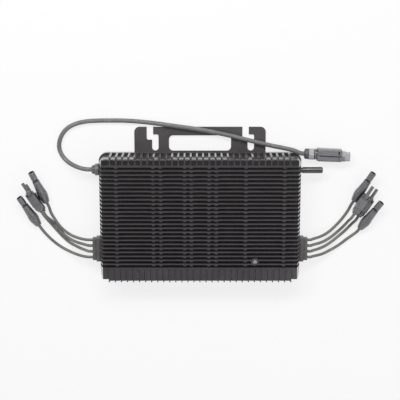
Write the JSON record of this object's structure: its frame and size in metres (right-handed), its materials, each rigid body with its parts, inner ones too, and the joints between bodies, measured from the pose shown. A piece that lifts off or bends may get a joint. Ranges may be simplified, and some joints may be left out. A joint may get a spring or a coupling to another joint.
{
  "type": "solar microinverter",
  "caption": "Flat finned casting with a hanging bracket on its top edge, a mains cable with its connector, short panel leads with connectors on both sides and a stub aerial.",
  "frame": {"origin": "middle of the rest face at the back of the casting, which lies flat on the table", "axes": "+Z out of the fins, +Y towards the hanging bracket, +X to the aerial's side"},
  "size_m": [0.5265, 0.232, 0.0421],
  "materials": {
    "casting": "dark grey anodised, dull",
    "bracket": "dark grey coated steel, dull",
    "screws": "plain steel",
    "gasket": "dull",
    "board": "solder mask",
    "ferrite": "dull",
    "copper": "varnished copper wire",
    "can": "sleeved can",
    "film": "resin box",
    "black_plastic": "dull",
    "heat_pad": "soft pad",
    "shield": "tinned",
    "potting": "soft resin",
    "lens": "silvery light pipe",
    "gland": "satin",
    "aerial": "satin",
    "socket_metal": "plated",
    "mains_cord": "satin sheath",
    "lead_cord": "satin sheath",
    "connector": "satin",
    "mains_plug": "satin",
    "mains_insert": "satin"
  },
  "bodies": {
    "root": {"heatsink_housing": "casting", "back_cover": "casting", "cover_gasket": "gasket", "cover_screws": "screws", "mounting_bracket": "bracket", "bracket_screws": "screws", "circuit_board": "board", "transformer_windings": "copper", "input_capacitors": "can", "output_capacitor": "film", "line_choke": "copper", "grid_relay": "black_plastic", "power_transistors": "black_plastic", "thermal_pad": "heat_pad", "radio_module": "shield", "potting_compound": "potting", "indicator_lens": "lens", "ac_gland_body": "gland", "ac_gland_nut": "gland", "aerial_socket": "socket_metal", "aerial_sleeve": "aerial", "dc_gland_left": "gland", "dc_gland_right": "gland", "ac_cable": "mains_cord", "ac_plug_seal": "gasket", "ac_plug_nut": "mains_plug", "ac_plug_body": "mains_plug", "ac_plug_insert": "mains_insert", "ac_plug_contacts": "socket_metal", "dc_pins": "socket_metal", "dc_sockets": "socket_metal", "transformer_core_1": "ferrite", "dc_lead_left_1": "lead_cord", "dc_connector_left_1": "connector", "dc_cap_left_1": "connector", "dc_lead_right_1": "lead_cord", "dc_connector_right_1": "connector", "dc_cap_right_1": "connector", "transformer_core_2": "ferrite", "dc_lead_left_2": "lead_cord", "dc_connector_left_2": "connector", "dc_cap_left_2": "connector", "dc_lead_right_2": "lead_cord", "dc_connector_right_2": "connector", "dc_cap_right_2": "connector", "transformer_core_3": "ferrite", "dc_lead_left_3": "lead_cord", "dc_connector_left_3": "connector", "dc_cap_left_3": "connector", "dc_lead_right_3": "lead_cord", "dc_connector_right_3": "connector", "dc_cap_right_3": "connector", "transformer_core_4": "ferrite", "dc_lead_left_4": "lead_cord", "dc_connector_left_4": "connector", "dc_cap_left_4": "connector", "dc_lead_right_4": "lead_cord", "dc_connector_right_4": "connector", "dc_cap_right_4": "connector"}
  },
  "joints": []
}
